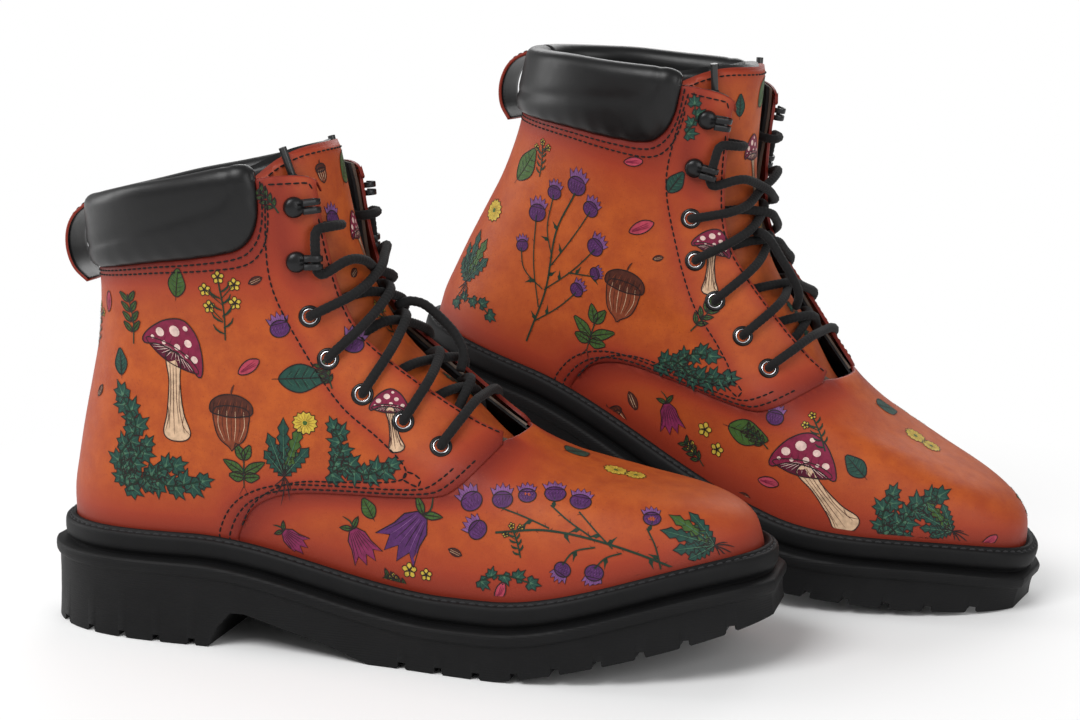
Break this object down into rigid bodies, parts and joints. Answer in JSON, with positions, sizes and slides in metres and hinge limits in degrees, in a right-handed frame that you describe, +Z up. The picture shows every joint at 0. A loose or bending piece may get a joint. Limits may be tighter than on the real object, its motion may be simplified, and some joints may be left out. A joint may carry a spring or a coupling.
{
  "type": "hiking boots",
  "caption": "Pair of laced ankle-high hiking boots with padded collars, hooks and eyelets, printed leather uppers and cleated rubber soles.",
  "frame": {"origin": "on the floor under the middle of the right heel's first land, on the boot's middle line", "axes": "+X from heel to toe of the right boot, +Y towards the left boot, +Z up"},
  "size_m": [0.3959, 0.2525, 0.2251],
  "materials": {
    "sole_rubber": "matt moulded rubber",
    "welt_rubber": "matt moulded rubber, fine ribs",
    "shank_steel": "plain spring steel",
    "board": "fibre board",
    "footbed_cloth": "cloth-topped foam",
    "printed_leather": "smooth grain, printed with leaves and flowers",
    "reinforcement": "woven reinforcement",
    "counter_shell": "thermoformed sheet",
    "lining_cloth": "black mesh lining",
    "black_leather": "soft padded leather",
    "foam": "open foam",
    "gusset_leather": "thin folded leather",
    "black_metal": "black nickel plated",
    "lace_cord": "round braided cord",
    "lace_tip": "clear-coated tip"
  },
  "bodies": {
    "right_boot": {"right_outsole": "sole_rubber", "right_midsole": "welt_rubber", "right_shank": "shank_steel", "right_insole_board": "board", "right_vamp": "printed_leather", "right_quarter_lateral": "printed_leather", "right_quarter_medial": "printed_leather", "right_eyestay_lateral": "reinforcement", "right_eyestay_medial": "reinforcement", "right_toe_puff": "counter_shell", "right_heel_counter": "counter_shell", "right_vamp_lining": "lining_cloth", "right_quarter_lining": "lining_cloth", "right_collar_cover": "black_leather", "right_collar_foam": "foam", "right_gusset_lateral": "gusset_leather", "right_gusset_medial": "gusset_leather", "right_pull_loop": "printed_leather", "right_eyelets": "black_metal", "right_eyelet_washers": "black_metal", "right_lace_hooks": "black_metal", "right_hook_rivets": "black_metal", "right_lace": "lace_cord", "right_lace_tail": "lace_cord", "right_lace_tips": "lace_tip"},
    "right_tongue": {"right_tongue": "printed_leather", "right_tongue_padding": "black_leather"},
    "right_footbed": {"right_footbed": "footbed_cloth"},
    "left_boot": {"left_outsole": "sole_rubber", "left_midsole": "welt_rubber", "left_shank": "shank_steel", "left_insole_board": "board", "left_vamp": "printed_leather", "left_quarter_lateral": "printed_leather", "left_quarter_medial": "printed_leather", "left_eyestay_lateral": "reinforcement", "left_eyestay_medial": "reinforcement", "left_toe_puff": "counter_shell", "left_heel_counter": "counter_shell", "left_vamp_lining": "lining_cloth", "left_quarter_lining": "lining_cloth", "left_collar_cover": "black_leather", "left_collar_foam": "foam", "left_gusset_lateral": "gusset_leather", "left_gusset_medial": "gusset_leather", "left_pull_loop": "printed_leather", "left_eyelets": "black_metal", "left_eyelet_washers": "black_metal", "left_lace_hooks": "black_metal", "left_hook_rivets": "black_metal", "left_lace": "lace_cord", "left_lace_tail": "lace_cord", "left_lace_tips": "lace_tip"},
    "left_tongue": {"left_tongue": "printed_leather", "left_tongue_padding": "black_leather"},
    "left_footbed": {"left_footbed": "footbed_cloth"}
  },
  "joints": [
    {"name": "left_boot_lift", "type": "slide", "parent": "right_boot", "child": "left_boot", "axis": [0, 0, 1], "range_m": [0, 0.12]},
    {"name": "right_tongue_flex", "type": "hinge", "parent": "right_boot", "child": "right_tongue", "pos_m": [0.16625, 0, 0.078], "axis": [0, -1, 0], "range_deg": [0, 5]},
    {"name": "left_tongue_flex", "type": "hinge", "parent": "left_boot", "child": "left_tongue", "pos_m": [0.27612, 0.12134, 0.08804], "axis": [-0.1908, -0.9816, 0], "range_deg": [0, 5]},
    {"name": "right_footbed_lift", "type": "hinge", "parent": "right_boot", "child": "right_footbed", "pos_m": [0.26975, 0, 0.0405], "axis": [0, 1, 0], "range_deg": [0, 4]},
    {"name": "left_footbed_lift", "type": "hinge", "parent": "left_boot", "child": "left_footbed", "pos_m": [0.36251, 0.10455, 0.02191], "axis": [0.1908, 0.9816, 0], "range_deg": [0, 4]}
  ]
}
